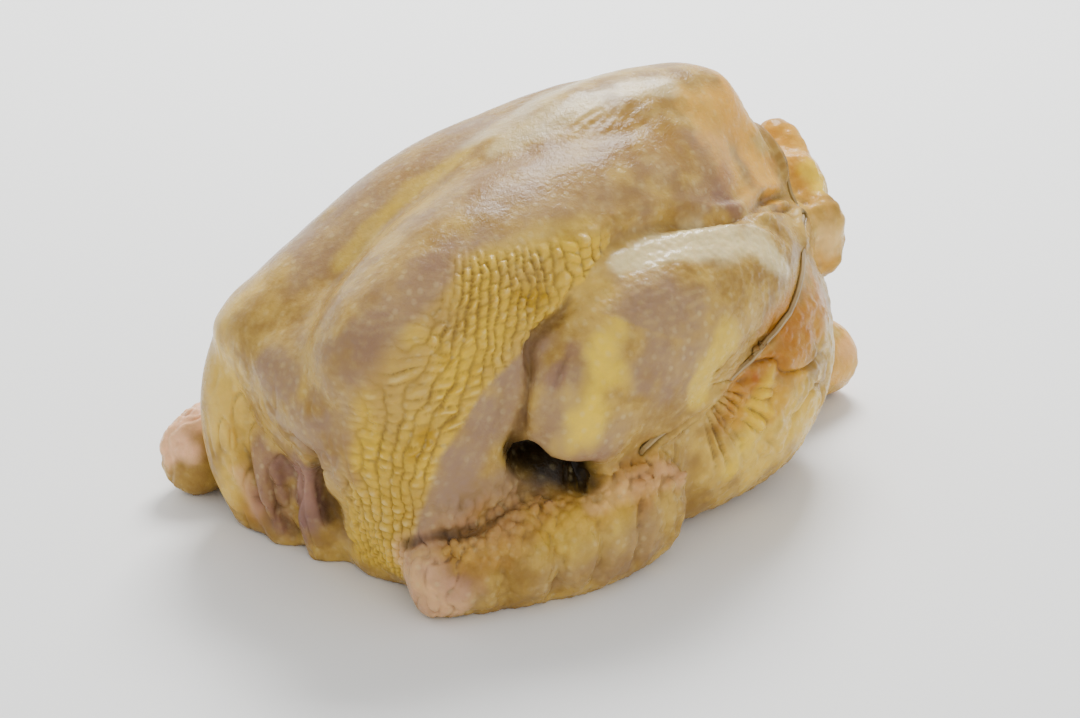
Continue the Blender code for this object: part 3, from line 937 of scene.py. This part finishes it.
# the least share of a layer, where the flecks thin it out
LEAST_SHADE, LEAST_TINT = 0.97, 0.75
mottle = node(
    tree,
    "ShaderNodeTexNoise",
    inputs={"Vector": place, "Scale": 1 / (MOTTLE_MM * MM), "Detail": 4.0, "Roughness": 0.6},
)
fleck = node(
    tree,
    "ShaderNodeTexNoise",
    inputs={"Vector": place, "Scale": 1 / (FLECK_MM * MM), "Detail": 3.0, "Roughness": 0.6},
)
spread = node(
    tree,
    "ShaderNodeMapRange",
    {"interpolation_type": "SMOOTHSTEP"},
    {"Value": mottle.outputs["Fac"], "From Min": 0.35, "From Max": 0.68},
)
colour = node(
    tree,
    "ShaderNodeMix",
    {"data_type": "RGBA"},
    {"Factor": spread.outputs["Result"], "A": linear(BASE), "B": linear(PALE)},
).outputs["Result"]
for mask, shade, most in STACK:
    here = node(tree, "ShaderNodeAttribute", {"attribute_name": mask}).outputs["Fac"]
    least = most * (LEAST_SHADE if mask == "shade" else LEAST_TINT)
    uneven = node(
        tree,
        "ShaderNodeMapRange",
        None,
        {"Value": fleck.outputs["Fac"], "From Min": 0.3, "From Max": 0.7, "To Min": least, "To Max": most},
    )
    factor = node(tree, "ShaderNodeMath", {"operation": "MULTIPLY"}, {0: here, 1: uneven.outputs["Result"]})
    colour = node(
        tree,
        "ShaderNodeMix",
        {"data_type": "RGBA"},
        {"Factor": factor.outputs["Value"], "A": colour, "B": linear(shade)},
    ).outputs["Result"]
print("tint layers", len(STACK))

# %% [markdown]
# Feather follicles stand in loose rows about 4 mm apart, as small pale domes. They are drawn as flat
# patterns seen along X, Y and Z, and each point of the skin takes mostly the pattern that faces it.

# %% Draw the follicles
FOLLICLE_MM = 4.2
FOLLICLE_COLOUR, FOLLICLE_SHARE = "#d9c48e", 0.24
FACING_POWER = 5.0
parts = node(tree, "ShaderNodeSeparateXYZ", inputs={"Vector": place})
outward = node(tree, "ShaderNodeTexCoord").outputs["Normal"]
facing = node(tree, "ShaderNodeSeparateXYZ", inputs={"Vector": outward})
follicles, weight_sum = 0.0, 0.0
for across, up, toward in (("Y", "Z", "X"), ("X", "Z", "Y"), ("X", "Y", "Z")):
    flat = node(tree, "ShaderNodeCombineXYZ", inputs={"X": parts.outputs[across], "Y": parts.outputs[up]})
    cells = node(
        tree,
        "ShaderNodeTexVoronoi",
        {"voronoi_dimensions": "2D"},
        {"Vector": flat.outputs["Vector"], "Scale": 1 / (FOLLICLE_MM * MM), "Randomness": 0.8},
    )
    dome = node(
        tree,
        "ShaderNodeMapRange",
        {"interpolation_type": "SMOOTHSTEP"},
        {"Value": cells.outputs["Distance"], "From Min": 0.27, "From Max": 0.08},
    ).outputs["Result"]
    towards = node(tree, "ShaderNodeMath", {"operation": "ABSOLUTE"}, {0: facing.outputs[toward]}).outputs[0]
    weight = node(tree, "ShaderNodeMath", {"operation": "POWER"}, {0: towards, 1: FACING_POWER}).outputs[0]
    follicles = node(
        tree, "ShaderNodeMath", {"operation": "MULTIPLY_ADD"}, {0: dome, 1: weight, 2: follicles}
    ).outputs[0]
    weight_sum = node(tree, "ShaderNodeMath", {"operation": "ADD"}, {0: weight, 1: weight_sum}).outputs[0]
follicles = node(tree, "ShaderNodeMath", {"operation": "DIVIDE"}, {0: follicles, 1: weight_sum}).outputs[0]
visible = node(
    tree, "ShaderNodeMath", {"operation": "MULTIPLY"}, {0: follicles, 1: spread.outputs["Result"]}
).outputs[0]
paler = node(tree, "ShaderNodeMath", {"operation": "MULTIPLY"}, {0: visible, 1: FOLLICLE_SHARE}).outputs[0]
colour = node(
    tree,
    "ShaderNodeMix",
    {"data_type": "RGBA"},
    {"Factor": paler, "A": colour, "B": linear(FOLLICLE_COLOUR)},
).outputs["Result"]
print("follicles", FOLLICLE_MM, "mm apart")

# %% [markdown]
# The grain of the skin is too small to sculpt: pores about 0.9 mm apart, and crinkles that run across
# the body where the skin is drawn tight. Both are bump, together with the follicle domes and the
# flecks. Roughness follows the mottles, since the skin isn't equally wet all over.

# %% Make the skin's surface
PORE_MM, CRINKLE_MM = 0.9, 1.6
PORE_SHARE, FOLLICLE_BUMP, FLECK_BUMP = 0.12, 0.5, 1.0
pores = node(
    tree, "ShaderNodeTexVoronoi", inputs={"Vector": place, "Scale": 1 / (PORE_MM * MM), "Randomness": 0.9}
)
drawn = node(
    tree,
    "ShaderNodeMapping",
    {"vector_type": "TEXTURE"},
    {"Vector": place, "Rotation": (0.0, 0.5, 0.6), "Scale": (4.0, 1.0, 1.0)},
)
crinkle = node(
    tree,
    "ShaderNodeTexNoise",
    inputs={
        "Vector": drawn.outputs["Vector"],
        "Scale": 1 / (CRINKLE_MM * MM),
        "Detail": 4.0,
        "Roughness": 0.6,
        "Distortion": 0.8,
    },
)
height = crinkle.outputs["Fac"]
for pattern, share in (
    (pores.outputs["Distance"], PORE_SHARE),
    (visible, FOLLICLE_BUMP),
    (fleck.outputs["Fac"], FLECK_BUMP),
):
    height = node(
        tree, "ShaderNodeMath", {"operation": "MULTIPLY_ADD"}, {0: pattern, 1: share, 2: height}
    ).outputs[0]
relief = node(tree, "ShaderNodeBump", inputs={"Height": height, "Strength": 0.5, "Distance": 0.4 * MM})
wetness = node(
    tree,
    "ShaderNodeMapRange",
    inputs={"Value": mottle.outputs["Fac"], "From Min": 0.3, "From Max": 0.7, "To Min": 0.2, "To Max": 0.33},
)
# the mask of the painted sheen also sets the coat, the film of water
sheen_and_film_mask = node(tree, "ShaderNodeAttribute", {"attribute_name": "cream"}).outputs["Fac"]
film = node(tree, "ShaderNodeMapRange", inputs={"Value": sheen_and_film_mask, "To Min": 0.04, "To Max": 0.5})
surface = node(
    tree,
    "ShaderNodeBsdfPrincipled",
    {"subsurface_method": "RANDOM_WALK"},
    {
        "Base Color": colour,
        "Roughness": wetness.outputs["Result"],
        "IOR": 1.4,
        "Specular IOR Level": 0.13,
        "Subsurface Weight": 0.18,
        "Subsurface Radius": (1.0, 0.55, 0.3),
        "Subsurface Scale": 3.0 * MM,
        "Coat Weight": film.outputs["Result"],
        "Coat Roughness": 0.12,
        "Coat IOR": 1.33,
        "Normal": relief.outputs["Normal"],
    },
)
node(tree, "ShaderNodeOutputMaterial", inputs={"Surface": surface.outputs["BSDF"]})
print("skin nodes", len(tree.nodes))

# %% [markdown]
# The finished skin rides on the bird's one body and stands for the solid, which stays hidden under it.

# %% Put the skin on the bird
skin.data.materials.append(wet_skin)
for face in skin.data.polygons:
    face.use_smooth = True
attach(skin, "root")
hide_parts("chicken")
print("skin faces", len(skin.data.polygons))

# %% [markdown]
# ## The elastic
#
# A trussing elastic is a thin cord of latex, extruded and dusted so that it doesn't stick. It is satin,
# a little translucent, and brownish yellow from the fat that it lies in, and its tones are painted darker
# still as painted shade of the crease round it. Its solid has the right form, so only the material is
# made here. The dust is a bump of 0.7 mm grain, coarser than real dust, which wouldn't show.

# %% Finish the elastic
TINGE_MM, DUST_MM = 9.0, 0.7
latex = new_material("extruded_latex_cord")
tree = latex.node_tree
place = node(tree, "ShaderNodeTexCoord").outputs["Object"]
tinge = node(
    tree, "ShaderNodeTexNoise", inputs={"Vector": place, "Scale": 1 / (TINGE_MM * MM), "Detail": 3.0}
)
# painted shade: both tones are darker than the cord, for the crease it lies in
fat_and_shade_tone = node(
    tree,
    "ShaderNodeMix",
    {"data_type": "RGBA"},
    {"Factor": tinge.outputs["Fac"], "A": linear("#a5894f"), "B": linear("#76592a")},
)
dust = node(tree, "ShaderNodeTexNoise", inputs={"Vector": place, "Scale": 1 / (DUST_MM * MM), "Detail": 2.0})
grain = node(
    tree, "ShaderNodeBump", inputs={"Height": dust.outputs["Fac"], "Strength": 0.3, "Distance": 0.1 * MM}
)
surface = node(
    tree,
    "ShaderNodeBsdfPrincipled",
    inputs={
        "Base Color": fat_and_shade_tone.outputs["Result"],
        "Roughness": 0.45,
        "IOR": 1.52,
        "Subsurface Weight": 0.1,
        "Subsurface Scale": 0.8 * MM,
        "Normal": grain.outputs["Normal"],
    },
)
node(tree, "ShaderNodeOutputMaterial", inputs={"Surface": surface.outputs["BSDF"]})
elastic.data.materials.clear()
elastic.data.materials.append(latex)
print("elastic material", latex.name)
